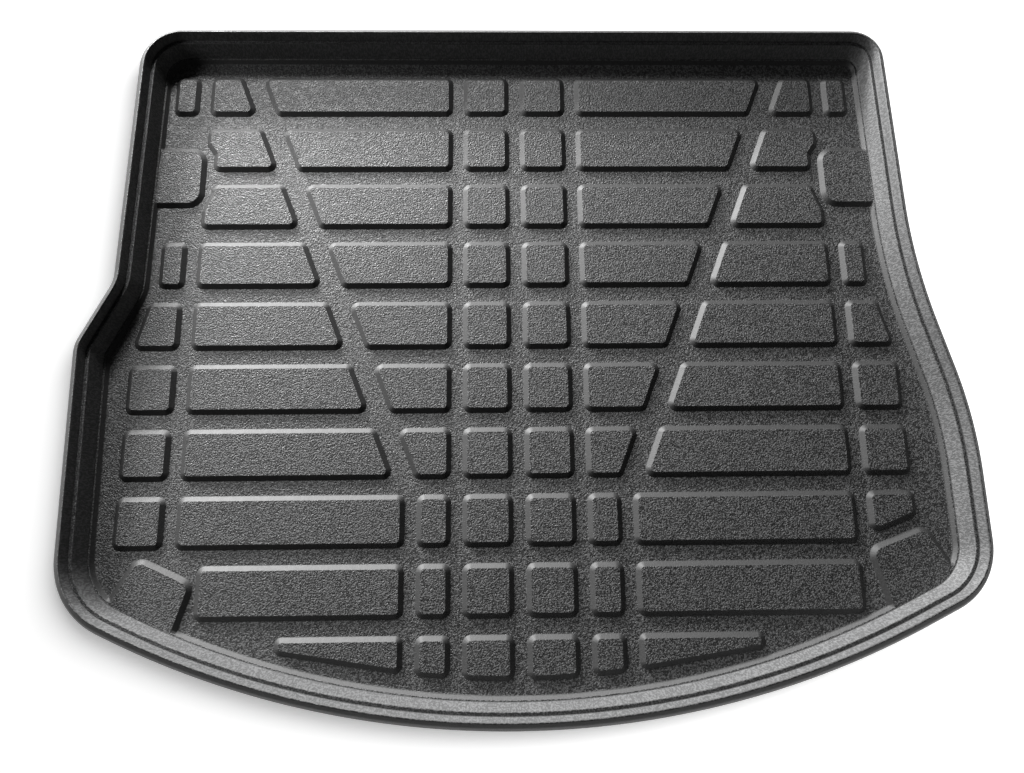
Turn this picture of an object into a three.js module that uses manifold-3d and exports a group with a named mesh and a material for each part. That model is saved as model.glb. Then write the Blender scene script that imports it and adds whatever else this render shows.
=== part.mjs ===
// Car boot liner: a shallow tray vacuum-formed from one plastic sheet.
// Millimetres, +Z up. X runs across the car, +Y towards the seats, and the
// underside of the floor lies at Z = 0. Raised blocks are hollow underneath,
// because the sheet keeps one thickness all over.

import * as THREE from 'three';
import Module from 'manifold-3d';

const wasm = await Module();
wasm.setup();

// Sheet
const sheet = 2.5;               // thickness of the formed sheet
const floorTop = sheet;          // height of the floor's upper face

// Outline of the rim, in the drawing frame: X = 0 is the middle of the block
// pattern, Y = 0 the near edge of the fifth row of blocks
const linerWidth = 1045.5;       // between the outermost points of the two sides
const linerDepth = 844.6;        // from the foremost point of the bow to the far edge
const offCentre = 7.25;          // the liner's middle lies right of the pattern's
const farEdge = 415.8;           // far edge of the rim
const nearApex = farEdge - linerDepth;
const halfWidth = linerWidth / 2;
const bowRadius = 1045;          // radius of the near bow
const bowMiddle = -3;            // X of its foremost point
const bowHalfWidth = halfWidth - 74.5;           // from there to where a corner begins
const stepFootX = offCentre - halfWidth;         // left side where its outward step ends
const stepFootY = -3;
const stepTopX = stepFootX + 37.7;               // left side where that step begins
const stepTopY = 75;
const leftFarX = stepFootX + 42.2;               // left side at the far corner
const leftNearX = stepFootX + 6.9;               // left side at the near corner
const flareFootX = offCentre + halfWidth;        // right side at its widest
const flareFootY = -97.5;
const flareTopX = flareFootX - 47;               // right side where it begins to swell
const flareTopY = 94;
const rightFarX = flareFootX - 52.6;             // right side at the far corner
const rightNearX = flareFootX - 0.4;             // right side at the near corner
const farLeftRadius = 54;
const farRightRadius = 42;
const stepRadius = 42;
const nearLeftRadius = 92;
const nearRightRadius = 82;
const flareTopRadius = 700;
const flareFootRadius = 520;

// Wall and rim, from the floor outwards: each run is measured across the wall
// and each rise up from the floor
const coveRun = 4.2;             // sloped foot between the floor and the low step
const stepRise = 4;              // height of the low step round the floor
const stepRun = 2;               // flat width of the low step
const wallRun = 6.6;             // main wall, nearly upright
const wallRise = 21.2;
const grooveRun = 5;             // groove that falls away behind the wall's edge
const grooveFall = 1.4;
const lipRun = 4.2;              // second rise, up to the rim's crest
const lipRise = 12.6;
const skirtRun = 9.8;            // rim rolled over and turned down
const skirtFall = 11.2;
const edgeRound = 1.1;           // rounding of the wall's creases

// Raised blocks
const blockRise = 4;             // height above the floor
const sideRun = 6.4;             // width of a block's sloped side
const shoulder = 1.0;            // width of the rounded edge round a block's top
const blockCorner = 4.6;         // corner radius of a block's top
const rowCount = 10;
const rowsMargin = 65.6;         // what the rows leave of the liner's depth
const rowPitch = (linerDepth - rowsMargin) / rowCount;
const rowDepth = 49.5;
const firstRowY = farEdge - 102.4;               // near edge of the first row's tops
const firstRowTrim = 4.4;        // the first row is shortened beside the far wall
const bowClear = 20.6;           // from the near wall's foot to the last row's tops

// Lines across the pattern, as distances from its middle
const columnGap = 24;            // between the tops of two columns
const middleInner = 12.4;        // the two middle columns of square blocks
const squareWidth = 47.6;
const narrowWidth = 28.6;
const middleOuter = middleInner + squareWidth;
const innerEdge = middleOuter + columnGap;       // columns beside them
const narrowOuter = innerEdge + narrowWidth;     // narrow blocks of the last rows
const lowInner = narrowOuter + columnGap;        // wide blocks of the last rows
const sideBand = 137.75;                         // floor and wall beyond the wide blocks
const wideOuter = halfWidth - sideBand;          // outer end of the wide blocks
const padClearX = wideOuter - 10;                // the same beside a side pad
const shortRowOuter = wideOuter - 27;            // and beside the left corner pad
const sideInner = wideOuter + columnGap;         // short blocks at the sides
const barOuter = sideInner + 21;                 // outer end where the side is straight
const sideOuter = sideInner + 46;                // and where the tray is wider
const slantOuter = sideInner + 31;               // and at the far edge of the fifth row
const lastRowOuter = wideOuter - 118;            // outer tip of the last row
const lastRowTip = 8.5;          // its blunt end
const cutNearOuter = 29;         // eighth row's right block, near edge slanted to
const cutNearInner = 11;         // clear the corner pad
const barCorner = 3.7;           // corner radius of the narrow bars' tops
const tipCorner = 2.8;           // and of the last row's wide blocks
const notchSecondRow = 16.3;     // beside a side pad: where the second row's notch
const notchSecondRun = 14;       // begins below the far edge, and its slanted length
const notchThirdRow = 17.8;      // and where the third row's begins above the near edge
const notchThirdStop = 6;        // and ends below the far edge
const slantFootIn = 2;           // fifth row's side block stops this far inside sideOuter

// Slanted channels that part the wide blocks in the first seven rows
const slantRows = 7;
const channelFarIn = 50.4;       // in from the wide blocks' outer end beside the first row
const channelFarUp = 41.6;
const channelNearOut = 50;       // out from their inner end at the near edge of the seventh
const channelFarX = wideOuter - channelFarIn;
const channelFarY = firstRowY + channelFarUp;
const channelNearX = innerEdge + channelNearOut;
const channelNearY = firstRowY - (slantRows - 1) * rowPitch;
const channelHalf = 17.4;

// Pads that run into the wall
const sidePadInner = wideOuter + 9;
const sidePadFarY = 257.5;
const sidePadNearY = 186.5;
const sidePadRadius = 15;
const padIntoWall = 20;          // a pad is drawn this far past the floor's edge, then cut
const cornerPadRadius = 10;
// Corners of the two corner pads, in from the side at the near corner and up
// from the bow's foremost point. The first two lie in the wall.
const leftCornerPad = [[47.6, 125.8], [119.6, 90.8], [138.6, 152.8], [79.6, 179.8]];
const rightCornerPad = [[105.6, 109.8], [30.6, 149.8], [62.6, 205.8], [125.6, 182.8]];

// Rounding steps
const cornerSteps = 6;
const bowSteps = 22;
const softSteps = 4;
const blockSteps = 2;
const pocketSteps = 1;
const padSteps = 3;
const smallestDetail = 0.05;     // slivers below this size are closed up
const sharpest = 0.2;            // least radius of a corner
const sideShare = 0.995;         // share of a side that the roundings at its ends may fill

// A closed outline is a list of corners { x, y, r, n }, counter-clockwise,
// where r rounds the corner in n steps. insetCorners moves every side inwards
// by the same distance, so the rounding shrinks on an outward corner and
// grows on an inward one.
function insetCorners(corners, distance) {
  const count = corners.length;
  const sides = corners.map((a, i) => {
    const b = corners[(i + 1) % count];
    const along = new THREE.Vector2(b.x - a.x, b.y - a.y).normalize();
    const inward = new THREE.Vector2(-along.y, along.x);
    const start = new THREE.Vector2(a.x, a.y).addScaledVector(inward, distance);
    return { start, along };
  });
  return corners.map((corner, i) => {
    const before = sides[(i + count - 1) % count];
    const after = sides[i];
    const turn = before.along.cross(after.along);
    const gap = after.start.clone().sub(before.start);
    const reach = gap.cross(after.along) / turn;
    const x = before.start.x + before.along.x * reach;
    const y = before.start.y + before.along.y * reach;
    const radius = turn > 0 ? corner.r - distance : corner.r + distance;
    return { ...corner, x, y, r: Math.max(radius, sharpest) };
  });
}

// Points along the rounded outline, the same number whatever the inset.
function outlinePoints(corners) {
  const points = [];
  const count = corners.length;
  const previous = (i) => (i + count - 1) % count;
  const sides = corners.map((corner, i) => {
    const next = corners[(i + 1) % count];
    return new THREE.Vector2(next.x - corner.x, next.y - corner.y);
  });
  const halfAngles = sides.map((side, i) => side.angleTo(sides[previous(i)].clone().negate()) / 2);
  const spans = corners.map((corner, i) => corner.r / Math.tan(halfAngles[i]));
  // Roundings that would meet on a side are made smaller until they fit it
  const fits = sides.map((side, i) => {
    return Math.min(1, (sideShare * side.length()) / (spans[i] + spans[(i + 1) % count]));
  });
  corners.forEach((corner, i) => {
    const back = sides[previous(i)].clone().negate().normalize();
    const ahead = sides[i].clone().normalize();
    const span = spans[i] * Math.min(fits[i], fits[previous(i)]);
    const radius = span * Math.tan(halfAngles[i]);
    const inwardTurn = back.cross(ahead) < 0 ? 1 : -1;
    const start = new THREE.Vector2(corner.x, corner.y).addScaledVector(back, span);
    const startNormal = new THREE.Vector2(back.y, -back.x).multiplyScalar(inwardTurn);
    const centre = start.clone().addScaledVector(startNormal, radius);
    const sweep = (Math.PI - 2 * halfAngles[i]) * inwardTurn;
    const spoke = start.clone().sub(centre);
    for (let k = 0; k <= corner.n; k++) {
      points.push(spoke.clone().rotateAround(new THREE.Vector2(), (sweep * k) / corner.n).add(centre));
    }
  });
  return points;
}

// Manifold solid of a stack of rings that have equal numbers of points, closed
// by a flat face at each end. Rings run counter-clockwise, from top to bottom
// of the surface that they sweep.
function ringSolid(rings) {
  const count = rings[0].points.length;
  const vertices = [];
  for (const ring of rings) {
    for (const point of ring.points) {
      vertices.push(point.x, point.y, ring.z);
    }
  }
  const faces = [];
  const capOf = (ring) => THREE.ShapeUtils.triangulateShape(rings[ring].points, []);
  for (const [a, b, c] of capOf(0)) {
    faces.push(a, b, c);
  }
  for (let level = 0; level + 1 < rings.length; level++) {
    const upper = level * count;
    const lower = upper + count;
    for (let i = 0; i < count; i++) {
      const j = (i + 1) % count;
      faces.push(upper + i, lower + i, lower + j, upper + i, lower + j, upper + j);
    }
  }
  const last = (rings.length - 1) * count;
  for (const [a, b, c] of capOf(rings.length - 1)) {
    faces.push(last + a, last + c, last + b);
  }
  return new wasm.Manifold(new wasm.Mesh({
    numProp: 3,
    vertProperties: new Float32Array(vertices),
    triVerts: new Uint32Array(faces),
  }));
}

// Rim outline, counter-clockwise from the near left corner. The bow is the
// rounding of one blunt corner that lies ahead of its foremost point.
const bowTurn = Math.asin(bowHalfWidth / bowRadius);
const bowApexY = nearApex + bowRadius - bowRadius / Math.cos(bowTurn);
const bowLineY = (x) => bowApexY + Math.tan(bowTurn) * Math.abs(x - bowMiddle);
const rim = [
  { x: leftNearX, y: bowLineY(leftNearX), r: nearLeftRadius, n: cornerSteps },
  { x: bowMiddle, y: bowApexY, r: bowRadius, n: bowSteps },
  { x: rightNearX, y: bowLineY(rightNearX), r: nearRightRadius, n: cornerSteps },
  { x: flareFootX, y: flareFootY, r: flareFootRadius, n: softSteps },
  { x: flareTopX, y: flareTopY, r: flareTopRadius, n: softSteps },
  { x: rightFarX, y: farEdge, r: farRightRadius, n: cornerSteps },
  { x: leftFarX, y: farEdge, r: farLeftRadius, n: cornerSteps },
  { x: stepTopX, y: stepTopY, r: stepRadius, n: softSteps },
  { x: stepFootX, y: stepFootY, r: stepRadius, n: softSteps },
];

const rimAt = (inset) => insetCorners(rim, inset);

// Section through wall and rim as { inset, z }, from the floor outwards along
// the upper face: inset is measured in from the rim's edge and z up from the
// floor. The points marked fold are the bends of the sheet, and the others
// round the upper face between them.
const rimEnd = 0;
const crestIn = rimEnd + skirtRun;
const grooveIn = crestIn + lipRun;
const wallTopIn = grooveIn + grooveRun;
const wallFootIn = wallTopIn + wallRun;
const coveTopIn = wallFootIn + stepRun;
const floorEdge = coveTopIn + coveRun;
const wallTopZ = stepRise + wallRise;
const grooveZ = wallTopZ - grooveFall;
const crestZ = grooveZ + lipRise;
const edgeZ = crestZ - skirtFall;
const upperFace = [
  { inset: floorEdge + edgeRound, z: 0, fold: true },
  { inset: floorEdge - 0.6 * edgeRound, z: 0.45 * edgeRound },
  { inset: coveTopIn + 0.5 * edgeRound, z: stepRise - 0.35 * edgeRound },
  { inset: coveTopIn - 0.5 * edgeRound, z: stepRise, fold: true },
  { inset: wallFootIn, z: stepRise + 0.4 * edgeRound },
  { inset: wallTopIn + 0.7 * edgeRound, z: wallTopZ - 0.8 * edgeRound, fold: true },
  { inset: wallTopIn - 0.3 * edgeRound, z: wallTopZ },
  { inset: grooveIn + 0.7 * edgeRound, z: grooveZ },
  { inset: grooveIn - 0.4 * edgeRound, z: grooveZ + edgeRound, fold: true },
  { inset: crestIn + edgeRound, z: crestZ - edgeRound },
  { inset: crestIn, z: crestZ, fold: true },
  { inset: crestIn - edgeRound, z: crestZ - 0.25 * edgeRound },
  { inset: 0.38 * skirtRun, z: crestZ - 0.36 * skirtFall, fold: true },
  { inset: 0.08 * skirtRun, z: crestZ - 0.8 * skirtFall, fold: true },
  { inset: rimEnd, z: edgeZ, fold: true },
];

// The lower face is the upper one's folds moved through the sheet's thickness.
function throughSheet(folds, thickness) {
  const normalOf = (a, b) => new THREE.Vector2(a.z - b.z, b.inset - a.inset).normalize();
  const last = folds.length - 1;
  return folds.map((point, i) => {
    const below = new THREE.Vector2(0, -1);
    const first = i > 0 ? normalOf(folds[i - 1], point) : below;
    const second = i < last ? normalOf(point, folds[i + 1]) : first;
    const mitre = first.clone().add(second).normalize();
    const reach = thickness / mitre.dot(second);
    return { inset: point.inset + mitre.x * reach, z: point.z + mitre.y * reach };
  });
}

function traySolid() {
  const lowerFace = throughSheet(upperFace.filter((point) => point.fold), sheet);
  const ringAt = ({ inset, z }) => ({ points: outlinePoints(rimAt(inset)), z: floorTop + z });
  return ringSolid([...upperFace.map(ringAt), ...lowerFace.reverse().map(ringAt)]);
}

// One raised block: a flat top with rounded corners, a narrow shoulder and a
// sloped side, and below it the pocket that the forming leaves.
function blockForms(corners) {
  const ring = (inset, z) => ({ points: outlinePoints(insetCorners(corners, inset)), z });
  const top = floorTop + blockRise;
  const below = floorTop - 0.4 * sheet;
  const spread = 0.04 * sheet;
  const slope = blockRise / sideRun;
  const boss = ringSolid([
    ring(shoulder, top),
    ring(0, top - 0.25 * shoulder),
    ring(-sideRun, floorTop),
    ring(-sideRun - spread, below),
  ]);
  const slopeAngle = Math.atan(slope);
  const narrowing = sheet / Math.sin(slopeAngle) - sheet / slope;
  const plain = corners.map((corner) => ({ ...corner, n: pocketSteps }));
  const pocketRing = (inset, z) => ({ points: outlinePoints(insetCorners(plain, inset)), z });
  const pocket = ringSolid([
    pocketRing(narrowing, top - sheet),
    pocketRing(narrowing - sideRun, 0),
    pocketRing(narrowing - sideRun - spread, -sheet),
  ]);
  return { boss, pocket };
}

// The near edge of row r, and its far edge.
const rowNear = (r) => firstRowY - (r - 1) * rowPitch;
const rowFar = (r) => rowNear(r) + rowDepth - (r === 1 ? firstRowTrim : 0);
const channelSlope = (channelFarX - channelNearX) / (channelFarY - channelNearY);
const channelAt = (y) => channelFarX - channelSlope * (channelFarY - y);

// Last row: the tops stop at a line parallel to the near wall.
function lastRowNear(x) {
  const radius = bowRadius - floorEdge - bowClear;
  const centreY = nearApex + bowRadius;
  return centreY - Math.sqrt(radius ** 2 - (x - bowMiddle) ** 2);
}

// Corners of a block on the right half, from its inner and outer edges as
// functions of y. side = -1 mirrors it to the left half.
function blockCorners(points, side, radius = blockCorner) {
  const corners = points.map(([x, y]) => ({ x: x * side, y, r: radius, n: blockSteps }));
  return side > 0 ? corners : corners.reverse();
}

function fourSided(row, innerNear, innerFar, outerNear, outerFar) {
  return [
    [innerNear, rowNear(row)],
    [outerNear, rowNear(row)],
    [outerFar, rowFar(row)],
    [innerFar, rowFar(row)],
  ];
}

// Every block's top as a list of corners.
function blockOutlines() {
  const outlines = [];
  const add = (points, side, radius) => outlines.push(blockCorners(points, side, radius));
  for (const side of [-1, 1]) {
    for (let row = 1; row < rowCount; row++) {
      const near = rowNear(row);
      const far = rowFar(row);
      add(fourSided(row, middleInner, middleInner, middleOuter, middleOuter), side);
      if (row <= slantRows) {
        // Inner block, up to the slanted channel
        const innerEnd = (y) => channelAt(y) - channelHalf;
        add(fourSided(row, innerEdge, innerEdge, innerEnd(near), innerEnd(far)), side);
        // Outer block, from the channel to the side
        const start = (y) => channelAt(y) + channelHalf;
        if (row === 2) {
          const turnY = far - notchSecondRow;
          add([[start(near), near], [padClearX, near], [padClearX, turnY - notchSecondRun],
            [wideOuter, turnY], [wideOuter, far], [start(far), far]], side);
        } else if (row === 3) {
          const turnY = near + notchThirdRow;
          add([[start(near), near], [wideOuter, near], [wideOuter, turnY],
            [padClearX, far - notchThirdStop], [padClearX, far], [start(far), far]], side);
        } else {
          add(fourSided(row, start(near), start(far), wideOuter, wideOuter), side);
        }
      } else {
        add(fourSided(row, innerEdge, innerEdge, narrowOuter, narrowOuter), side);
        const outer = row === 9 && side < 0 ? shortRowOuter : wideOuter;
        add(fourSided(row, lowInner, lowInner, outer, outer), side);
      }
      // Short blocks beside the walls
      if (row === 1 || row === 4) {
        add(fourSided(row, sideInner, sideInner, barOuter, barOuter), side, barCorner);
      } else if (row === 5) {
        add(fourSided(row, sideInner, sideInner, sideOuter - slantFootIn, slantOuter), side);
      } else if (row === 8 && side > 0) {
        add([[sideInner, near + cutNearInner], [sideOuter, near + cutNearOuter],
          [sideOuter, far], [sideInner, far]], side);
      } else if (row >= 6 && row <= 8) {
        add(fourSided(row, sideInner, sideInner, sideOuter, sideOuter), side);
      }
    }
    // Last row, cut by the bow of the near wall
    const far = rowFar(rowCount);
    for (const [inner, outer] of [[middleInner, middleOuter], [innerEdge, narrowOuter]]) {
      add([[inner, lastRowNear(side * inner)], [outer, lastRowNear(side * outer)],
        [outer, far], [inner, far]], side);
    }
    add([[lowInner, lastRowNear(side * lowInner)], [lastRowOuter, far - lastRowTip],
      [lastRowOuter, far], [lowInner, far]], side, tipCorner);
  }
  return outlines;
}

// Pads beside the walls: their outer ends run on into the low step. Corners
// inside the wall stay sharp, because the cut takes them off.
function padOutlines() {
  const sharp = 1;
  const pad = (list) => list.map(([x, y, r]) => ({ x, y, r, n: padSteps }));
  const cornerPad = (list, sideX, inward) => {
    const radius = (i) => (i < 2 ? sharp : cornerPadRadius);
    return pad(list.map(([x, y], i) => [sideX + inward * x, nearApex + y, radius(i)]));
  };
  const leftWall = leftFarX + floorEdge - padIntoWall;
  const rightWall = rightFarX - floorEdge + padIntoWall;
  return [
    pad([[leftWall, sidePadNearY, sharp], [-sidePadInner, sidePadNearY, sidePadRadius],
      [-sidePadInner, sidePadFarY, sidePadRadius], [leftWall, sidePadFarY, sharp]]),
    pad([[sidePadInner, sidePadNearY, sidePadRadius], [rightWall, sidePadNearY, sharp],
      [rightWall, sidePadFarY, sharp], [sidePadInner, sidePadFarY, sidePadRadius]]),
    cornerPad(leftCornerPad, leftNearX, 1),
    cornerPad(rightCornerPad, rightNearX, -1),
  ];
}

// Upright prism of the rim's outline, moved inwards, from low to high.
function prism(inset, low, high) {
  const points = outlinePoints(rimAt(inset));
  return ringSolid([{ points, z: high }, { points, z: low }]);
}

// What rises from the floor ends level on the low step. The pockets run out
// into the hollow below the wall.
function bootLiner() {
  const forms = [...blockOutlines(), ...padOutlines()].map(blockForms);
  const withinWall = prism(coveTopIn - 0.8 * edgeRound, 0, floorTop + 2 * blockRise);
  const bosses = wasm.Manifold.union(forms.map((form) => form.boss)).intersect(withinWall);
  const pockets = wasm.Manifold.union(forms.map((form) => form.pocket));
  return traySolid().add(bosses).subtract(pockets).asOriginal().simplify(smallestDetail);
}

// Triangles of the solid as a three.js geometry, with the origin below the
// middle of the tray's bounding box.
function toGeometry(solid) {
  const mesh = solid.getMesh();
  const positions = new Float32Array(mesh.numVert * 3);
  for (let i = 0; i < mesh.numVert; i++) {
    for (let axis = 0; axis < 3; axis++) {
      positions[3 * i + axis] = mesh.vertProperties[mesh.numProp * i + axis];
    }
  }
  const geometry = new THREE.BufferGeometry();
  geometry.setAttribute('position', new THREE.BufferAttribute(positions, 3));
  geometry.setIndex(new THREE.BufferAttribute(new Uint32Array(mesh.triVerts), 1));
  geometry.computeBoundingBox();
  const middle = geometry.boundingBox.getCenter(new THREE.Vector3());
  geometry.translate(-middle.x, -middle.y, 0);
  return geometry;
}

const blackPlastic = new THREE.MeshStandardMaterial({ color: 0x1c1d1e, roughness: 0.6, metalness: 0 });
const liner = new THREE.Mesh(toGeometry(bootLiner()), blackPlastic);
liner.name = 'boot_liner';

const group = new THREE.Group();
group.add(liner);
export default group;
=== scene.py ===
# Car boot liner, dressed for the studio: the formed sheet with its real roundings,
# its moulded grain, and soft light from beyond the far edge. Blender 4.5.
# Outlines and sections are in millimetres in the drawing frame of the liner:
# X = 0 is the middle of the block pattern, Y = 0 the near edge of the fifth row
# of blocks and Z = 0 the underside of the floor. Meshes are in metres.

import math

import bmesh
import bpy
import numpy as np
from bpy.props import FloatProperty, FloatVectorProperty, PointerProperty
from mathutils import Matrix, Vector
from mathutils.geometry import delaunay_2d_cdt


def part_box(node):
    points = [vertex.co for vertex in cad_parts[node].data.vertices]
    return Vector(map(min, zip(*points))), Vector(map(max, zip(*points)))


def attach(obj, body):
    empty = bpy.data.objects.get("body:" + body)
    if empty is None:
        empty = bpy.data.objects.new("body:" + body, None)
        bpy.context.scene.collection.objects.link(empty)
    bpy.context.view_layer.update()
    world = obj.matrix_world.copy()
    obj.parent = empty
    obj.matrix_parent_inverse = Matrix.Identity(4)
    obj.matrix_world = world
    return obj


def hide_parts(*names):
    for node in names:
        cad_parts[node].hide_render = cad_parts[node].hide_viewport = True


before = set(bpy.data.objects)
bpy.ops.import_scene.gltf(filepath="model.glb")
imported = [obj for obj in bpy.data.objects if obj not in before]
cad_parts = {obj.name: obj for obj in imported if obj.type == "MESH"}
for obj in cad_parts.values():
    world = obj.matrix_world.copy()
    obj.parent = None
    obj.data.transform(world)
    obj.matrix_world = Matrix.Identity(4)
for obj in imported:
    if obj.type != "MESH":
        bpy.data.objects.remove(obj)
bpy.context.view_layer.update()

bl_info = {
    "name": "Car Boot Liner",
    "version": (1, 0, 0),
    "blender": (4, 5, 0),
    "location": "View3D > Sidebar > Boot Liner",
    "description": "Builds a formed plastic boot liner and the studio it is shown in",
    "category": "Add Mesh",
}

MM = 0.001
PIECE = "liner_sheet"

# Turn from one facet of a rounding to the next, and the least angle that stays sharp
FINE_TURN = math.radians(9)
BLOCK_TURN = math.radians(8)
COARSE_TURN = math.radians(18)
SHARP_ANGLE = math.radians(40)

# Place of each lamp, and width and height of its face
KEY_LAMP = ((-1.12, 2.63, 1.85), (1.3, 0.4))
LOW_LAMP = ((-1.71, 2.85, 0.71), (2.0, 0.55))
FILL_LAMP = ((-3.01, 0.53, 1.49), (0.8, 0.8))
FLOOR_LAMP = ((1.25, 0.80, 1.75), (2.2, 2.2))
LAMP_TARGET = (0, 0, 0.01)

# The floor as the camera sees it: its own glow, and the colour that shows the shadow
FLOOR_GLOW = 0.42
SEEN_FLOOR = (0.9, 0.9, 0.9, 1)
WHITE = (1, 1, 1, 1)


# Sizes and finishes that a user would change

class LinerSizes(bpy.types.PropertyGroup):
    """Sizes of the formed sheet."""
    sheet: FloatProperty(
        name="Sheet", description="Thickness of the formed sheet", default=0.0025,
        min=0.001, unit="LENGTH")
    width: FloatProperty(
        name="Width", description="Between the outermost points of the two sides",
        default=1.0455, unit="LENGTH")
    depth: FloatProperty(
        name="Depth", description="From the foremost point of the bow to the far edge",
        default=0.8446, unit="LENGTH")
    block_rise: FloatProperty(
        name="Block height", description="Height of the raised blocks above the floor",
        default=0.004, unit="LENGTH")
    block_side: FloatProperty(
        name="Block side", description="Width of a block's sloped side",
        default=0.0056, unit="LENGTH")
    shoulder: FloatProperty(
        name="Shoulder", description="Rounding of a block's upper edge",
        default=0.0009, unit="LENGTH")
    foot: FloatProperty(
        name="Foot", description="Rounding where a block meets the floor",
        default=0.0014, unit="LENGTH")
    wall_rise: FloatProperty(
        name="Wall", description="Height of the main wall above the low step",
        default=0.0212, unit="LENGTH")
    lip_rise: FloatProperty(
        name="Lip", description="Rise from the groove to the rim's crest",
        default=0.0126, unit="LENGTH")


class LinerFinish(bpy.types.PropertyGroup):
    """Finish of the black plastic."""
    black: FloatVectorProperty(
        name="Plastic", description="Colour of the plastic", subtype="COLOR", size=3,
        default=(0.0010, 0.0010, 0.0011), min=0, max=1)
    # Held back to a tenth on the blocks' sloped sides, as painted shade that makes them nearly black
    worn: FloatVectorProperty(
        name="Plastic, paler", description="Colour on the tops of the grain",
        subtype="COLOR", size=3, default=(0.108, 0.109, 0.110), min=0, max=1)
    # Painted light: the paler colour of the steep walls, most of all on their inner side, so that they
    # look lit; a little of it is the sheet's stretching
    drawn: FloatVectorProperty(
        name="Plastic, drawn", description="Colour where the sheet was drawn down a wall",
        subtype="COLOR", size=3, default=(0.170, 0.171, 0.172), min=0, max=1)
    sheen: FloatProperty(
        name="Sheen", description="Strength of the plastic's reflection",
        default=1.0, min=0, max=1, subtype="FACTOR")
    smooth: FloatProperty(
        name="Roughness, low", description="Roughness where the grain is polished by the mould",
        default=0.50, min=0, max=1, subtype="FACTOR")
    rough: FloatProperty(
        name="Roughness, high", description="Roughness in the dull patches and on sloped sides",
        default=0.62, min=0, max=1, subtype="FACTOR")
    grain_size: FloatProperty(
        name="Grain", description="Width of one pebble of the moulded grain",
        default=0.0018, unit="LENGTH")
    grain_depth: FloatProperty(
        name="Grain depth", description="Height of the moulded grain",
        default=0.0010, unit="LENGTH", precision=5)


class StudioSettings(bpy.types.PropertyGroup):
    """Camera, floor and lamps."""
    camera_height: FloatProperty(
        name="Camera height", description="Above the upper face of the liner's floor",
        default=0.928, unit="LENGTH")
    camera_x: FloatProperty(
        name="Camera X", description="From the middle of the block pattern",
        default=-0.0266, unit="LENGTH")
    camera_y: FloatProperty(
        name="Camera Y", description="From the near edge of the fifth row",
        default=-0.2660, unit="LENGTH")
    camera_pitch: FloatProperty(
        name="Pitch", description="How far the camera looks down from level",
        default=math.radians(76.83), subtype="ANGLE")
    camera_roll: FloatProperty(
        name="Roll", description="Turn of the camera about its own axis",
        default=math.radians(4.698), subtype="ANGLE")
    camera_heading: FloatProperty(
        name="Heading", description="Turn of the camera about the vertical",
        default=math.radians(-5.231), subtype="ANGLE")
    lens: FloatProperty(
        name="Lens", description="Focal length in millimetres on a 36 mm wide sensor",
        default=28.125)
    floor_power: FloatProperty(
        name="Floor lamp", description="Power of the lamp that lights the floor alone",
        default=104.0, unit="POWER")
    floor_colour: FloatVectorProperty(
        name="Floor", description="Colour of the studio floor", subtype="COLOR",
        size=3, default=(0.55, 0.55, 0.55), min=0, max=1)
    key_power: FloatProperty(
        name="Key lamp", description="Power of the higher lamp beyond the far edge",
        default=86.0, unit="POWER")
    low_power: FloatProperty(
        name="Low lamp", description="Power of the low, wide lamp beyond the far edge",
        default=232.0, unit="POWER")
    fill_power: FloatProperty(
        name="Fill lamp", description="Power of the weak lamp at the left",
        default=28.0, unit="POWER")


def sizes():
    return bpy.context.scene.liner_sizes


def finish_settings():
    return bpy.context.scene.liner_finish


def studio_settings():
    return bpy.context.scene.liner_studio


# Outlines and sections

def unit(vector):
    return vector / math.hypot(*vector)


def cross(a, b):
    return a[0] * b[1] - a[1] * b[0]


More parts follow.
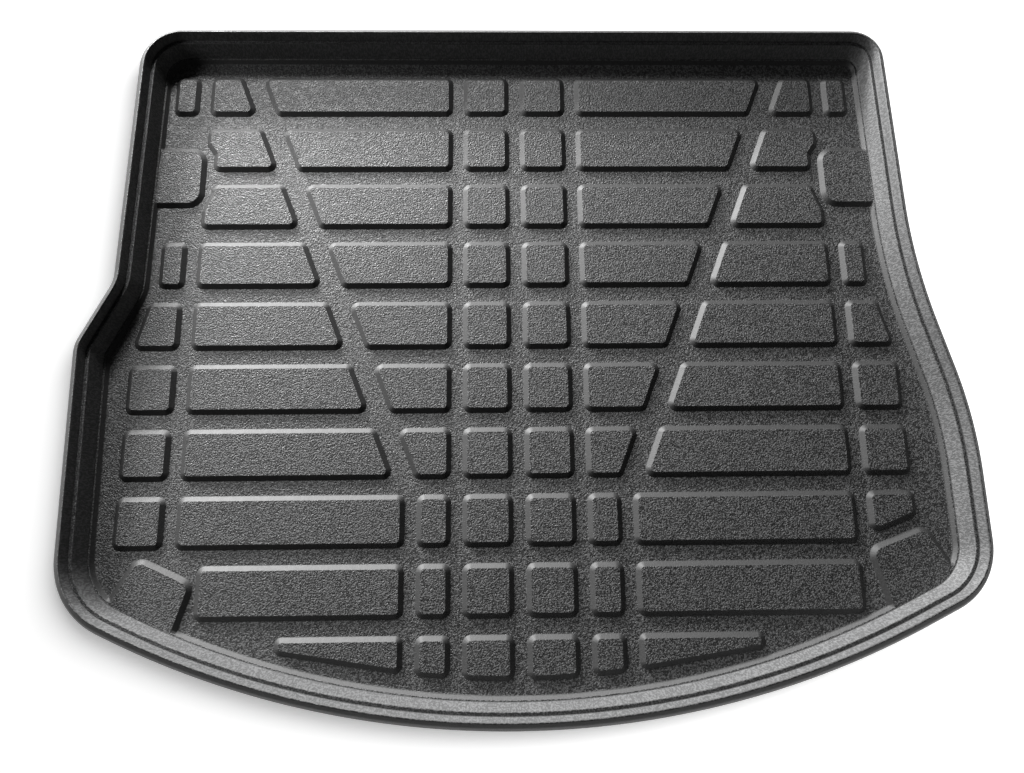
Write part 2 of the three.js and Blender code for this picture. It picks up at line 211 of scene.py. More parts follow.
class Outline:
    """Closed outline, counter-clockwise, with a rounding at each corner.

    A corner is (x, y, radius, steps). Insets of one outline have rings with the
    same number of points.
    """

    LEAST_RADIUS = 0.2
    SIDE_SHARE = 0.995

    def __init__(self, corners):
        self.corners = [tuple(corner) for corner in corners]
        points = [np.array(corner[:2], float) for corner in self.corners]
        count = len(points)
        sides = [points[(i + 1) % count] - points[i] for i in range(count)]
        lengths = [math.hypot(*side) for side in sides]
        turns, spans = [], []
        for i, corner in enumerate(self.corners):
            before, after = sides[i - 1], sides[i]
            turn = math.atan2(cross(before, after), float(before @ after))
            turns.append(turn)
            spans.append(corner[2] * math.tan(abs(turn) / 2))
        fits = [min(1.0, self.SIDE_SHARE * lengths[i] / (spans[i] + spans[(i + 1) % count]))
                for i in range(count)]
        self.arcs = []
        for i, turn in enumerate(turns):
            span = spans[i] * min(fits[i], fits[i - 1])
            radius = span / math.tan(abs(turn) / 2)
            along = unit(sides[i - 1])
            start = points[i] - along * span
            inward = np.array([-along[1], along[0]]) * math.copysign(1, turn)
            self.arcs.append((start + inward * radius, -inward, radius, turn, self.corners[i][3]))

    def inset(self, distance):
        """The outline with each side moved inwards by the same distance."""
        count = len(self.corners)
        points = [np.array(corner[:2], float) for corner in self.corners]
        moved = []
        for i, (x, y, radius, steps) in enumerate(self.corners):
            before = unit(points[i] - points[i - 1])
            after = unit(points[(i + 1) % count] - points[i])
            turn = cross(before, after)
            shift = distance * (np.array([-after[1], after[0]]) - np.array([-before[1], before[0]]))
            start = points[i] + distance * np.array([-before[1], before[0]])
            corner = start + before * cross(shift, after) / turn
            kept = radius - distance if turn > 0 else radius + distance
            moved.append((*corner, max(kept, self.LEAST_RADIUS), steps))
        return Outline(moved)

    def ring(self):
        """Points along the outline."""
        points = []
        for centre, spoke, radius, turn, steps in self.arcs:
            for k in range(steps + 1):
                angle = turn * k / steps
                c, s = math.cos(angle), math.sin(angle)
                points.append((centre[0] + radius * (c * spoke[0] - s * spoke[1]),
                               centre[1] + radius * (s * spoke[0] + c * spoke[1])))
        return np.array(points)

    def depth(self, points):
        """How far each point lies inside the outline, or outside where negative."""
        nearest = np.full(len(points), 1e9)
        result = np.zeros(len(points))

        def offer(distance, signed, where):
            closer = where & (distance < nearest)
            nearest[closer] = distance[closer]
            result[closer] = signed[closer]

        for i, (centre, spoke, radius, turn, _) in enumerate(self.arcs):
            offset = points - centre
            reach = np.hypot(offset[:, 0], offset[:, 1])
            angle = np.arctan2(cross(spoke, offset.T), offset @ spoke) * math.copysign(1, turn)
            within = (angle >= 0) & (angle <= abs(turn))
            signed = (radius - reach) * math.copysign(1, turn)
            offer(np.abs(signed), signed, within)
            end_spoke = rotated(spoke, turn)
            start = centre + radius * end_spoke
            next_centre, next_spoke, next_radius, _, _ = self.arcs[(i + 1) % len(self.arcs)]
            side = next_centre + next_radius * next_spoke - start
            length = math.hypot(*side)
            along = side / length
            offset = points - start
            place = np.clip(offset @ along, 0, length)
            away = offset - place[:, None] * along
            distance = np.hypot(away[:, 0], away[:, 1])
            signed = distance * np.sign(cross(along, offset.T))
            offer(distance, signed, np.ones(len(points), bool))
        return result


def rotated(vector, angle):
    c, s = math.cos(angle), math.sin(angle)
    return np.array([c * vector[0] - s * vector[1], s * vector[0] + c * vector[1]])


def rounded_section(folds, turn_step=FINE_TURN):
    """Section through the sheet as points, from folds (place, height, radius)."""
    result = []
    for i, (place, height, radius) in enumerate(folds):
        here = np.array([place, height])
        if i in (0, len(folds) - 1) or radius <= 0:
            result.append(here)
            continue
        back = np.array(folds[i - 1][:2]) - here
        ahead = np.array(folds[i + 1][:2]) - here
        half = math.acos(np.clip(unit(back) @ unit(ahead), -1, 1)) / 2
        room = 0.48 * min(math.hypot(*back), math.hypot(*ahead))
        span = min(radius / math.tan(half), room)
        true_radius = span * math.tan(half)
        middle = here + unit(unit(back) + unit(ahead)) * true_radius / math.sin(half)
        spoke = here + unit(back) * span - middle
        end = here + unit(ahead) * span - middle
        sweep = math.atan2(cross(spoke, end), float(spoke @ end))
        steps = max(2, math.ceil(abs(sweep) / turn_step))
        result += [middle + rotated(spoke, sweep * k / steps) for k in range(steps + 1)]
    return np.array(result)


def through_sheet(folds, thickness):
    """The folds of the lower face, moved through the sheet's thickness."""
    def normal_of(a, b):
        return unit(np.array([a[1] - b[1], b[0] - a[0]]))

    moved = []
    for i, (place, height, radius) in enumerate(folds):
        first = normal_of(folds[i - 1], folds[i]) if i else np.array([0.0, -1.0])
        second = normal_of(folds[i], folds[i + 1]) if i < len(folds) - 1 else first
        mitre = unit(first + second)
        reach = thickness / float(mitre @ second)
        moved.append((place + mitre[0] * reach, height + mitre[1] * reach, radius))
    return moved


def height_along(section, places):
    """Heights of a section at the given places."""
    order = np.argsort(section[:, 0], kind="stable")
    return np.interp(places, section[order, 0], section[order, 1])


# The liner's own outline, wall and blocks

class LinerForm:
    """Everything that the two faces of the sheet are worked out from, in millimetres.

    OFF_CENTRE is how far the outline's middle lies to the right of the pattern's.
    FIRST_ROW is measured from the far edge, and END_MARGINS is what the rows leave
    of the depth. MIDDLE_BLOCK holds its inner and outer edge, and the other blocks
    their widths. SLANT_HALF is half the width of a slanted channel, and NOTCH keeps
    rows 2 and 3 clear of the pads. The names that end in CORNER are radii, and
    those in FACETS count the steps of one rounding.
    """

    OFF_CENTRE = 7.25
    FAR_EDGE = 415.8
    FIRST_ROW = 102.4
    END_MARGINS = 65.6
    SIDE_MARGIN = 137.75
    BOW_MARGIN = 20.6
    ROW_COUNT = 10
    ROW_DEPTH = 49.5
    FIRST_ROW_CUT = 4.4
    SLANT_ROWS = 7
    SLANT_HALF = 17.4
    CHANNEL = 24.0
    MIDDLE_BLOCK = (12.4, 60.0)
    NARROW_BLOCK = 28.6
    SIDE_BLOCK = 46.0
    SLIM_SIDE_BLOCK = 21.0
    NOTCH = 10.0
    CORNER = 4.6
    SLIM_CORNER = 3.7
    TIP_CORNER = 2.8
    PAD_CORNER = 15.0
    NEAR_PAD_CORNER = 10.0
    PAD_OVERLAP = 5.0
    BLOCK_FACETS = 7
    POCKET_FACETS = 4

    def __init__(self):
        size = sizes()
        self.sheet = size.sheet / MM
        self.half_width = size.width / MM / 2
        self.depth = size.depth / MM
        self.block_rise = size.block_rise / MM
        self.block_side = size.block_side / MM
        self.set_rim()
        self.set_wall(size.wall_rise / MM, size.lip_rise / MM)
        self.set_pattern()
        self.set_block_sections(size.shoulder / MM, size.foot / MM)

    def set_rim(self):
        """Outline of the rim, counter-clockwise from the near left corner."""
        half = self.half_width
        self.near_apex = self.FAR_EDGE - self.depth
        self.bow_radius, self.bow_middle = 1045.0, -3.0
        turn = math.asin((half - 74.5) / self.bow_radius)
        tip = self.near_apex + self.bow_radius - self.bow_radius / math.cos(turn)
        left, right = self.OFF_CENTRE - half, self.OFF_CENTRE + half
        self.left_near, self.right_near = left + 6.9, right - 0.4
        self.left_far, self.right_far = left + 42.2, right - 52.6

        def bow_line(x):
            return tip + math.tan(turn) * abs(x - self.bow_middle)

        self.rim = Outline([
            (self.left_near, bow_line(self.left_near), 92, 14),
            (self.bow_middle, tip, self.bow_radius, 64),
            (self.right_near, bow_line(self.right_near), 82, 14),
            (right, -97.5, 520, 12),
            (right - 47, 94, 700, 12),
            (self.right_far, self.FAR_EDGE, 42, 12),
            (self.left_far, self.FAR_EDGE, 54, 12),
            (left + 37.7, 75, 42, 6),
            (left, -3, 42, 6),
        ])

    def set_wall(self, wall_rise, lip_rise):
        """Section through wall and rim: place is measured in from the rim's edge.

        A run is a width, and a rise or a fall a height. The crest is rounded over roll.
        """
        cove_run, step_rise, step_run = 4.2, 4.0, 2.0
        wall_run, groove_run, groove_fall = 6.6, 5.0, 1.4
        lip_run, skirt_run, skirt_fall = 4.2, 9.8, 11.2
        roll = 1.1
        crest = skirt_run
        groove = crest + lip_run
        wall_top = groove + groove_run
        wall_foot = wall_top + wall_run
        cove_top = wall_foot + step_run
        self.floor_edge = cove_top + cove_run
        step_z = self.sheet + step_rise
        wall_z = step_z + wall_rise
        groove_z = wall_z - groove_fall
        crest_z = groove_z + lip_rise
        self.upper_wall = rounded_section([
            (self.floor_edge + 6, self.sheet, 0),
            (self.floor_edge, self.sheet, 3.0),
            (cove_top, step_z, 1.2),
            (wall_foot, step_z, 1.2),
            (wall_top, wall_z, 1.2),
            (groove, groove_z, 1.2),
            (crest + roll, crest_z - roll, 1.5),
            (crest, crest_z, 1.0),
            (crest - roll, crest_z - 0.25 * roll, 1.5),
            (0.38 * skirt_run, crest_z - 0.36 * skirt_fall, 9),
            (0.08 * skirt_run, crest_z - 0.8 * skirt_fall, 6),
            (0, crest_z - skirt_fall, 0),
        ])
        self.lower_wall = rounded_section(through_sheet([
            (self.floor_edge + 6, self.sheet, 0),
            (self.floor_edge + roll, self.sheet, 3.0),
            (cove_top - 0.5 * roll, step_z, 1.0),
            (wall_top + 0.7 * roll, wall_z - 0.8 * roll, 1.0),
            (groove - 0.4 * roll, groove_z + roll, 1.0),
            (crest, crest_z, 0.8),
            (0.38 * skirt_run, crest_z - 0.36 * skirt_fall, 4),
            (0.08 * skirt_run, crest_z - 0.8 * skirt_fall, 4),
            (0, crest_z - skirt_fall, 0),
        ], self.sheet), COARSE_TURN)

    def set_pattern(self):
        """Places of the rows and columns of blocks."""
        self.row_pitch = (self.depth - self.END_MARGINS) / self.ROW_COUNT
        self.first_row = self.FAR_EDGE - self.FIRST_ROW
        self.inner_edge = self.MIDDLE_BLOCK[1] + self.CHANNEL
        self.narrow_outer = self.inner_edge + self.NARROW_BLOCK
        self.low_inner = self.narrow_outer + self.CHANNEL
        self.wide_outer = self.half_width - self.SIDE_MARGIN
        self.side_inner = self.wide_outer + self.CHANNEL
        self.side_outer = self.side_inner + self.SIDE_BLOCK
        far_x, far_y = self.wide_outer - 50.4, self.first_row + 41.6
        near_x, near_y = self.inner_edge + 50, self.near(self.SLANT_ROWS)
        self.slant = (far_x, far_y, (far_x - near_x) / (far_y - near_y))

    def near(self, row):
        """Near edge of a row of blocks."""
        return self.first_row - (row - 1) * self.row_pitch

    def far(self, row):
        """Far edge of a row of blocks."""
        return self.near(row) + self.ROW_DEPTH - (self.FIRST_ROW_CUT if row == 1 else 0)

    def channel(self, y):
        """Distance of the slanted channel's middle line from the pattern's middle."""
        x, at, slope = self.slant
        return x - slope * (at - y)

    def bow_edge(self, x):
        """Near edge of the last row's tops, parallel to the near wall."""
        radius = self.bow_radius - self.floor_edge - self.BOW_MARGIN
        return self.near_apex + self.bow_radius - math.sqrt(radius ** 2 - (x - self.bow_middle) ** 2)

    def row_blocks(self, row, side):
        """Corner points and rounding of the blocks of one row, measured out from the middle."""
        near, far, half = self.near(row), self.far(row), self.SLANT_HALF
        outer, inner, notched = self.wide_outer, self.side_inner, self.wide_outer - self.NOTCH

        def box(left_near, left_far, right_near, right_far):
            return [(left_near, near), (right_near, near), (right_far, far), (left_far, far)]

        def straight(start, end):
            return box(start, start, end, end)

        yield straight(*self.MIDDLE_BLOCK), self.CORNER
        if row <= self.SLANT_ROWS:
            edge = self.inner_edge
            yield box(edge, edge, self.channel(near) - half, self.channel(far) - half), self.CORNER
            start = [(self.channel(far) + half, far), (self.channel(near) + half, near)]
            if row == 2:
                turn = far - 16.3
                end = [(notched, near), (notched, turn - 14), (outer, turn), (outer, far)]
            elif row == 3:
                turn = near + 17.8
                end = [(outer, near), (outer, turn), (notched, far - 6), (notched, far)]
            else:
                end = [(outer, near), (outer, far)]
            yield start[1:] + end + start[:1], self.CORNER
        else:
            yield straight(self.inner_edge, self.narrow_outer), self.CORNER
            stop = outer - 27 if row == 9 and side < 0 else outer
            yield straight(self.low_inner, stop), self.CORNER
        if row in (1, 4):
            yield straight(inner, inner + self.SLIM_SIDE_BLOCK), self.SLIM_CORNER
        elif row == 5:
            yield box(inner, inner, self.side_outer - 2, inner + 31), self.CORNER
        elif row == 8 and side > 0:
            yield [(inner, near + 11), (self.side_outer, near + 29),
                   (self.side_outer, far), (inner, far)], self.CORNER
        elif 6 <= row <= 8:
            yield straight(inner, self.side_outer), self.CORNER

    def last_row_blocks(self, side):
        """Blocks of the last row, cut by the bow of the near wall."""
        far = self.far(self.ROW_COUNT)
        for inner, outer in (self.MIDDLE_BLOCK, (self.inner_edge, self.narrow_outer)):
            yield [(inner, self.bow_edge(side * inner)), (outer, self.bow_edge(side * outer)),
                   (outer, far), (inner, far)], self.CORNER
        tip = self.wide_outer - 118
        yield [(self.low_inner, self.bow_edge(side * self.low_inner)), (tip, far - 8.5),
               (tip, far), (self.low_inner, far)], self.TIP_CORNER

    def blocks(self, steps):
        """Outlines of the tops of all blocks."""
        for side in (-1, 1):
            shapes = [shape for row in range(1, self.ROW_COUNT) for shape in self.row_blocks(row, side)]
            for points, radius in shapes + list(self.last_row_blocks(side)):
                corners = [(x * side, y, radius, steps) for x, y in points]
                yield Outline(corners if side > 0 else corners[::-1])

    def pads(self, steps):
        """Outlines of the pads' tops. Their outer ends lie in the wall."""
        inner, near, far = self.wide_outer + 9, 186.5, 257.5
        reach = 20 - self.floor_edge
        left, right = self.left_far - reach, self.right_far + reach
        radius = self.PAD_CORNER
        yield Outline([(left, near, 1, 1), (-inner, near, radius, steps),
                       (-inner, far, radius, steps), (left, far, 1, 1)])
        yield Outline([(inner, near, radius, steps), (right, near, 1, 1),
                       (right, far, 1, 1), (inner, far, radius, steps)])
        left_pad = ((47.6, 125.8), (119.6, 90.8), (138.6, 152.8), (79.6, 179.8))
        right_pad = ((105.6, 109.8), (30.6, 149.8), (62.6, 205.8), (125.6, 182.8))
        for places, base, inward in ((left_pad, self.left_near, 1), (right_pad, self.right_near, -1)):
            rounded = (self.NEAR_PAD_CORNER, steps)
            rounding = ((1, 1), (1, 1), rounded, rounded)
            yield Outline([(base + inward * x, self.near_apex + y, *corner)
                           for (x, y), corner in zip(places, rounding)])

    def set_block_sections(self, shoulder, foot):
        """Sections through a block's side: place is measured out from its top's outline."""
        top, floor, run = self.sheet + self.block_rise, self.sheet, self.block_side
        self.upper_side = rounded_section([
            (-6, top, 0), (-0.3, top, shoulder), (run, floor, foot), (run + 6, floor, 0)],
            BLOCK_TURN)
        angle = math.atan2(self.block_rise, run)
        narrowing = self.sheet / math.sin(angle) - self.sheet / math.tan(angle)
        self.lower_side = rounded_section([
            (-narrowing - 6, top - self.sheet, 0), (-narrowing, top - self.sheet, foot),
            (run - narrowing, 0, shoulder), (run + 6, 0, 0)], COARSE_TURN)


# One face of the sheet

def closed_edges(first, count):
    """Edges that join a run of points into a loop."""
    return [(first + i, first + (i + 1) % count) for i in range(count)]


def face_mesh(form, wall, side, shapes):
    """Points, heights and triangles of the upper or the lower face of the sheet.

    wall and side are the sections, and shapes the outlines of the blocks' tops.
    """
    points, edges = [], []
    for place in wall[:, 0]:
        ring = form.rim.inset(float(place)).ring()
        edges += closed_edges(len(points), len(ring))
        points += ring.tolist()
    sloped = side[1:-1, 0]
    reach = float(sloped.max())
    for outline, is_pad in shapes:
        for place in sloped:
            ring = outline.inset(-float(place)).ring()
            if is_pad:
                ring = finely_spaced(ring)
                keep = form.rim.depth(ring) > form.floor_edge - form.PAD_OVERLAP
            else:
                keep = np.ones(len(ring), bool)
            first = len(points)
            points += ring.tolist()
            edges += [(a, b) for a, b in closed_edges(first, len(ring))
                      if keep[a - first] and keep[b - first]]
    used = sorted({index for edge in edges for index in edge})
    renumbered = {index: k for k, index in enumerate(used)}
    points = [Vector(points[index]) for index in used]
    edges = [(renumbered[a], renumbered[b]) for a, b in edges]
    inside_only, tolerance = 1, 1e-4
    flat, _, faces, _, _, _ = delaunay_2d_cdt(points, edges, [], inside_only, tolerance, False)
    flat = np.array([tuple(point) for point in flat])
    faces = np.array(faces)
    faces = faces[form.rim.depth(flat[faces].mean(1)) > 0].tolist()
    heights = height_along(wall, form.rim.depth(flat))
    for outline, _ in shapes:
        ring = outline.ring()
        low, high = ring.min(0) - reach, ring.max(0) + reach
        near = np.flatnonzero(((flat >= low) & (flat <= high)).all(1))
        raised = height_along(side, -outline.depth(flat[near]))
        heights[near] = np.maximum(heights[near], raised)
    return flat, heights, faces


def finely_spaced(ring, spacing=3.0):
    """The ring with extra points on its long sides."""
    result = []
    for i, point in enumerate(ring):
        following = ring[(i + 1) % len(ring)]
        pieces = max(1, math.ceil(math.hypot(*(following - point)) / spacing))
        result += [point + (following - point) * k / pieces for k in range(pieces)]
    return np.array(result)


def sheet_mesh():
    """The whole sheet as one closed mesh: two faces, joined along the rim's cut edge."""
    form = LinerForm()
    upper_shapes = [(shape, False) for shape in form.blocks(form.BLOCK_FACETS)]
    upper_shapes += [(shape, True) for shape in form.pads(2 * form.BLOCK_FACETS)]
    lower_shapes = [(shape, False) for shape in form.blocks(form.POCKET_FACETS)]
    lower_shapes += [(shape, True) for shape in form.pads(form.BLOCK_FACETS)]
    upper = face_mesh(form, form.upper_wall, form.upper_side, upper_shapes)
    lower = face_mesh(form, form.lower_wall, form.lower_side, lower_shapes)
    rim_ring = form.rim.ring()
    low, high = Vector(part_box("boot_liner")[0]), Vector(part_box("boot_liner")[1])
    centre = (low + high) / 2 / MM
    shift = np.array([centre.x, centre.y]) - (rim_ring.min(0) + rim_ring.max(0)) / 2
    builder = bmesh.new()
    for (flat, heights, faces), turned in ((upper, False), (lower, True)):
        places = (flat + shift) * MM
        corners = [builder.verts.new((x, y, z * MM + low.z))
                   for (x, y), z in zip(places.tolist(), heights.tolist())]
        for face in faces:
            builder.faces.new([corners[i] for i in (face[::-1] if turned else face)])
    rim_edges = [edge for edge in builder.edges if edge.is_boundary]
    bmesh.ops.bridge_loops(builder, edges=rim_edges)
    bmesh.ops.recalc_face_normals(builder, faces=builder.faces[:])
    for face in builder.faces:
        face.smooth = True
    mesh = bpy.data.meshes.new(PIECE)
    builder.to_mesh(mesh)
    builder.free()
    mesh.set_sharp_from_angle(angle=SHARP_ANGLE)
    return mesh, Vector((shift[0] * MM, shift[1] * MM, low.z))


# Moulded grain and the black plastic

PLASTIC_IOR = 1.6

# Heights of the noise between which a pebble's top begins, and how walls stretch it
TOPS_START, TOPS_FULL = 0.485, 0.555
DRAWN_STRETCH = (1, 1, 0.35)

# The polished and the dull patches have this share of the grain's pebbles per metre
PATCH_SHARE = 0.35


def socket(group, name, way, kind="NodeSocketFloat", value=None):
    made = group.interface.new_socket(name=name, in_out=way, socket_type=kind)
    if value is not None:
        made.default_value = value
    return made


def moulded_grain():
    """Shader group: the pebbled grain of the mould, stretched where the sheet was drawn down a wall."""
    group = bpy.data.node_groups.get("Moulded grain")
    if group:
        return group
    group = bpy.data.node_groups.new("Moulded grain", "ShaderNodeTree")
    socket(group, "Vector", "INPUT", "NodeSocketVector")
    socket(group, "Pebbles per metre", "INPUT", value=500.0)
    socket(group, "Height", "OUTPUT")
    socket(group, "Tops", "OUTPUT")
    nodes, links = group.nodes, group.links
    entry = nodes.new("NodeGroupInput")
    leave = nodes.new("NodeGroupOutput")
    drawn = nodes.new("ShaderNodeVectorMath")
    drawn.operation = "MULTIPLY"
    drawn.inputs[1].default_value = DRAWN_STRETCH
    links.new(entry.outputs["Vector"], drawn.inputs[0])
    pebbles = nodes.new("ShaderNodeTexNoise")
    pebbles.inputs["Detail"].default_value = 1.0
    pebbles.inputs["Roughness"].default_value = 0.6
    links.new(drawn.outputs[0], pebbles.inputs["Vector"])
    links.new(entry.outputs["Pebbles per metre"], pebbles.inputs["Scale"])
    links.new(pebbles.outputs["Fac"], leave.inputs["Height"])
    tops = nodes.new("ShaderNodeMapRange")
    tops.inputs["From Min"].default_value = TOPS_START
    tops.inputs["From Max"].default_value = TOPS_FULL
    links.new(pebbles.outputs["Fac"], tops.inputs["Value"])
    links.new(tops.outputs["Result"], leave.inputs["Tops"])
    return group


class Wiring:
    """Short ways to add and link the nodes of one material."""

    def __init__(self, material):
        material.use_nodes = True
        self.nodes, self.links = material.node_tree.nodes, material.node_tree.links

    def feed(self, value, entry):
        """Link a socket to an input, or set the input to a number."""
        if isinstance(value, bpy.types.NodeSocket):
            self.links.new(value, entry)
        else:
            entry.default_value = value

    def maths(self, operation, first, second):
        node = self.nodes.new("ShaderNodeMath")
        node.operation = operation
        self.feed(first, node.inputs[0])
        self.feed(second, node.inputs[1])
        return node.outputs[0]

    def ranged(self, value, start, end, low=0.0, high=1.0):
        """The value from start to end as one from low to high, and held beyond."""
        node = self.nodes.new("ShaderNodeMapRange")
        limits = {"From Min": start, "From Max": end, "To Min": low, "To Max": high}
        for name, limit in limits.items():
            node.inputs[name].default_value = limit
        self.links.new(value, node.inputs["Value"])
        return node.outputs["Result"]

    def blended(self, factor, first, second):
        """A mix of two colours."""
        node = self.nodes.new("ShaderNodeMix")
        node.data_type = "RGBA"
        self.feed(factor, node.inputs["Factor"])
        self.feed(first, node.inputs["A"])
        self.feed(second, node.inputs["B"])
        return node.outputs["Result"]

    def grain(self, place, pebbles_per_metre):
        """The moulded grain at a place, as a group node."""
        node = self.nodes.new("ShaderNodeGroup")
        node.node_tree = moulded_grain()
        node.inputs["Pebbles per metre"].default_value = pebbles_per_metre
        self.links.new(place, node.inputs["Vector"])
        return node


def black_plastic():
    """Material of the liner."""
    finish = finish_settings()
    material = bpy.data.materials.new("black_plastic")
    wiring = Wiring(material)
    nodes, links = wiring.nodes, wiring.links
    shader = nodes["Principled BSDF"]
    shader.inputs["Specular IOR Level"].default_value = finish.sheen
    shader.inputs["IOR"].default_value = PLASTIC_IOR
    place = nodes.new("ShaderNodeTexCoord")
    direction = nodes.new("ShaderNodeSeparateXYZ")
    links.new(place.outputs["Normal"], direction.inputs[0])
    grain = wiring.grain(place.outputs["Object"], 1 / finish.grain_size)
    patches = wiring.grain(place.outputs["Object"], PATCH_SHARE / finish.grain_size)

    # Full grain on level stretches, half of it on steep ones, and hardly any between
    level = wiring.ranged(direction.outputs["Z"], 0.87, 0.97, low=0.1)
    steep = wiring.ranged(direction.outputs["Z"], 0.75, 0.35)
    grained = wiring.maths("MAXIMUM", level, wiring.maths("MULTIPLY", steep, 0.5))
    centred = wiring.maths("SUBTRACT", grain.outputs["Height"], 0.5)
    bump = nodes.new("ShaderNodeBump")
    bump.inputs["Strength"].default_value = 1.0
    bump.inputs["Distance"].default_value = finish.grain_depth
    links.new(wiring.maths("MULTIPLY", centred, grained), bump.inputs["Height"])
    links.new(bump.outputs["Normal"], shader.inputs["Normal"])

    # Painted light: the steep walls are painted paler, above all on their inner side, so that they look
    # lit; a little of it is the sheet's stretching where it was drawn
    outward = nodes.new("ShaderNodeVectorMath")
    outward.operation = "DOT_PRODUCT"
    links.new(place.outputs["Object"], outward.inputs[0])
    links.new(place.outputs["Normal"], outward.inputs[1])
    inner = wiring.ranged(outward.outputs["Value"], 0.05, -0.05, low=0.3)
    faint = wiring.ranged(grain.outputs["Tops"], 0.0, 1.0, low=0.5)
    painted_wall_light = wiring.maths("MULTIPLY", wiring.maths("MULTIPLY", steep, inner), faint)
    # Painted shade: the grain's pale tops are held back to a tenth on the blocks' sloped sides, so
    # those sides are painted nearly black
    tops = wiring.maths("MULTIPLY", grain.outputs["Tops"], level)
    grain_and_painted_side_shade = wiring.blended(tops, (*finish.black, 1), (*finish.worn, 1))
    base_with_painted_light = wiring.blended(painted_wall_light, grain_and_painted_side_shade, (*finish.drawn, 1))
    links.new(base_with_painted_light, shader.inputs["Base Color"])

    polished = wiring.maths("MULTIPLY", patches.outputs["Tops"], level)
    gloss = wiring.ranged(polished, 0.0, 1.0, low=finish.rough, high=finish.smooth)
    links.new(gloss, shader.inputs["Roughness"])
    return material


# Operators

class LINER_OT_sheet(bpy.types.Operator):
    """Build the formed sheet in place of the plain solid"""
    bl_idname = "liner.sheet"
    bl_label = "Formed sheet"

    def execute(self, context):
        mesh, origin = sheet_mesh()
        piece = bpy.data.objects.new(PIECE, mesh)
        context.scene.collection.objects.link(piece)
        mesh.materials.append(black_plastic())
        flats = piece.modifiers.new("Flat faces", "WEIGHTED_NORMAL")
        flats.keep_sharp = True
        flats.weight = 80
        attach(piece, "root")
        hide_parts("boot_liner")
        context.scene["liner_origin"] = tuple(origin)
        return {"FINISHED"}


def floor_material():
    """Pale floor that the camera and reflections see as white, with the liner's shadow on it."""
    material = bpy.data.materials.new("studio_floor")
    wiring = Wiring(material)
    nodes, links = wiring.nodes, wiring.links
    nodes.clear()
    output = nodes.new("ShaderNodeOutputMaterial")
    plain = nodes.new("ShaderNodeBsdfDiffuse")
    plain.inputs["Color"].default_value = (*studio_settings().floor_colour, 1)
    shaded = nodes.new("ShaderNodeBsdfDiffuse")
    shaded.inputs["Color"].default_value = SEEN_FLOOR
    glow = nodes.new("ShaderNodeEmission")
    glow.inputs["Strength"].default_value = FLOOR_GLOW
    seen = nodes.new("ShaderNodeAddShader")
    links.new(shaded.outputs[0], seen.inputs[0])
    links.new(glow.outputs[0], seen.inputs[1])
    path = nodes.new("ShaderNodeLightPath").outputs
    mirrored = wiring.maths("MAXIMUM", path["Is Glossy Ray"], path["Is Transmission Ray"])
    choose = nodes.new("ShaderNodeMixShader")
    links.new(wiring.maths("MAXIMUM", path["Is Camera Ray"], mirrored), choose.inputs[0])
    links.new(plain.outputs[0], choose.inputs[1])
    links.new(seen.outputs[0], choose.inputs[2])
    links.new(choose.outputs[0], output.inputs["Surface"])
    return material


def add_lamp(name, location, face, power):
    """Soft lamp that looks at the liner and isn't seen itself."""
    light = bpy.data.lights.new(name, "AREA")
    light.shape = "RECTANGLE"
    light.size, light.size_y = face
    light.energy = power
    lamp = bpy.data.objects.new(name, light)
    lamp.location = location
    lamp.visible_camera = False
    aim = Vector(LAMP_TARGET) - Vector(location)
    lamp.rotation_euler = aim.to_track_quat("-Z", "Y").to_euler()
    bpy.context.scene.collection.objects.link(lamp)
    return lamp


def light_only(lamps, lit, name):
    """Let the lamps light these objects alone."""
    receivers = bpy.data.collections.new(name)
    for thing in lit:
        receivers.objects.link(thing)
    for lamp in lamps:
        lamp.light_linking.receiver_collection = receivers


def studio_world():
    """World that the camera sees as white and that adds a faint light."""
    world = bpy.data.worlds.new("studio_world")
    world.use_nodes = True
    nodes, links = world.node_tree.nodes, world.node_tree.links
    dim = nodes["Background"]
    dim.inputs["Color"].default_value = WHITE
    dim.inputs["Strength"].default_value = 0.02
    white = nodes.new("ShaderNodeBackground")
    white.inputs["Color"].default_value = WHITE
    white.inputs["Strength"].default_value = 1.0
    path = nodes.new("ShaderNodeLightPath")
    choose = nodes.new("ShaderNodeMixShader")
    links.new(path.outputs["Is Camera Ray"], choose.inputs[0])
    links.new(dim.outputs[0], choose.inputs[1])
    links.new(white.outputs[0], choose.inputs[2])
    links.new(choose.outputs[0], nodes["World Output"].inputs["Surface"])
    return world


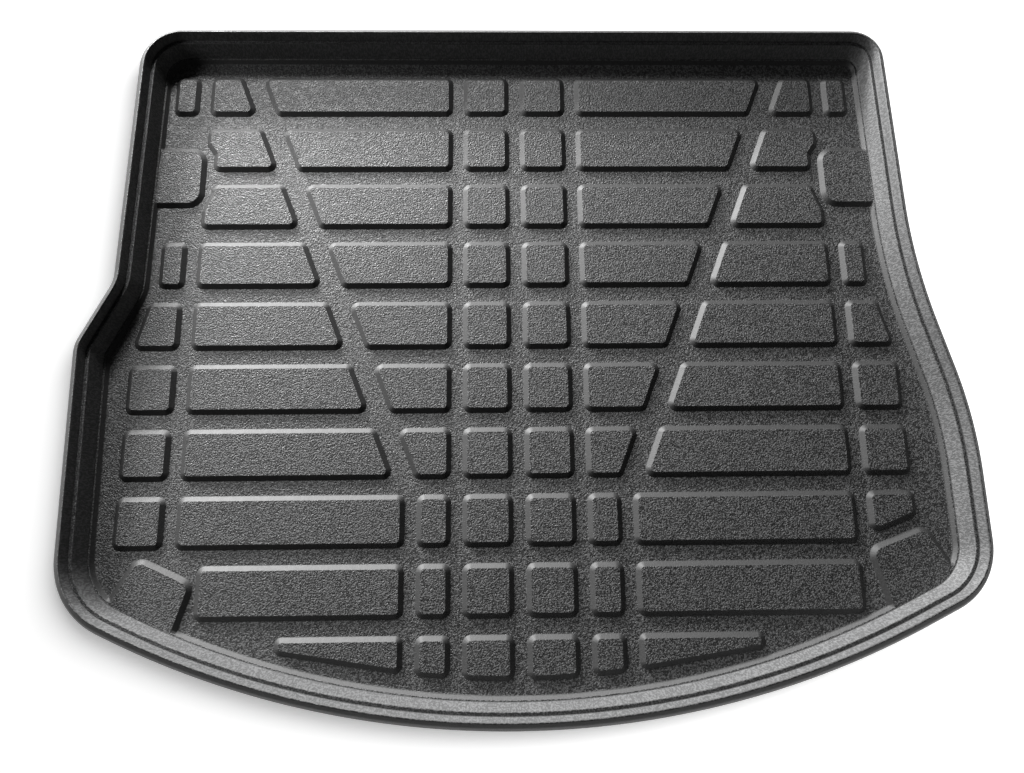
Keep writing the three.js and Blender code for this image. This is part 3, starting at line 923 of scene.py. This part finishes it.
class LINER_OT_studio(bpy.types.Operator):
    """Set up the floor, the lamps and the camera"""
    bl_idname = "liner.studio"
    bl_label = "Studio"

    def execute(self, context):
        scene, studio = context.scene, studio_settings()
        bpy.ops.mesh.primitive_plane_add(size=12)
        floor = context.object
        floor.name = "studio_floor"
        floor.data.materials.append(floor_material())
        on_liner = [add_lamp("key_lamp", *KEY_LAMP, studio.key_power),
                    add_lamp("low_lamp", *LOW_LAMP, studio.low_power),
                    add_lamp("fill_lamp", *FILL_LAMP, studio.fill_power)]
        on_floor = [add_lamp("floor_lamp", *FLOOR_LAMP, studio.floor_power)]
        light_only(on_liner, [bpy.data.objects[PIECE]], "lit_liner")
        light_only(on_floor, [floor], "lit_floor")
        scene.world = studio_world()
        scene.view_settings.view_transform = "Standard"
        self.add_camera(scene, studio)
        return {"FINISHED"}

    def add_camera(self, scene, studio):
        data = bpy.data.cameras.new("camera")
        data.sensor_fit = "HORIZONTAL"
        data.sensor_width = 36
        data.lens = studio.lens
        camera = bpy.data.objects.new("camera", data)
        scene.collection.objects.link(camera)
        origin = Vector(scene["liner_origin"])
        above = studio.camera_height + sizes().sheet
        place = origin + Vector((studio.camera_x, studio.camera_y, above))
        turn = (Matrix.Rotation(studio.camera_heading, 4, "Z")
                @ Matrix.Rotation(math.pi / 2 - studio.camera_pitch, 4, "X")
                @ Matrix.Rotation(studio.camera_roll, 4, "Z"))
        camera.matrix_world = Matrix.Translation(place) @ turn
        scene.camera = camera


class LINER_PT_panel(bpy.types.Panel):
    """Sizes, finishes and studio of the boot liner"""
    bl_label = "Boot Liner"
    bl_idname = "LINER_PT_panel"
    bl_space_type = "VIEW_3D"
    bl_region_type = "UI"
    bl_category = "Boot Liner"

    def draw(self, context):
        scene = context.scene
        for settings in (scene.liner_sizes, scene.liner_finish, scene.liner_studio):
            box = self.layout.box()
            for name in settings.__annotations__:
                box.prop(settings, name)
        self.layout.operator(LINER_OT_sheet.bl_idname)
        self.layout.operator(LINER_OT_studio.bl_idname)


CLASSES = (LinerSizes, LinerFinish, StudioSettings, LINER_OT_sheet, LINER_OT_studio, LINER_PT_panel)


def register():
    for cls in CLASSES:
        bpy.utils.register_class(cls)
    bpy.types.Scene.liner_sizes = PointerProperty(type=LinerSizes)
    bpy.types.Scene.liner_finish = PointerProperty(type=LinerFinish)
    bpy.types.Scene.liner_studio = PointerProperty(type=StudioSettings)


def unregister():
    del bpy.types.Scene.liner_studio
    del bpy.types.Scene.liner_finish
    del bpy.types.Scene.liner_sizes
    for cls in reversed(CLASSES):
        bpy.utils.unregister_class(cls)


def main():
    register()
    bpy.ops.liner.sheet()
    bpy.ops.liner.studio()


if __name__ == "__main__":
    main()
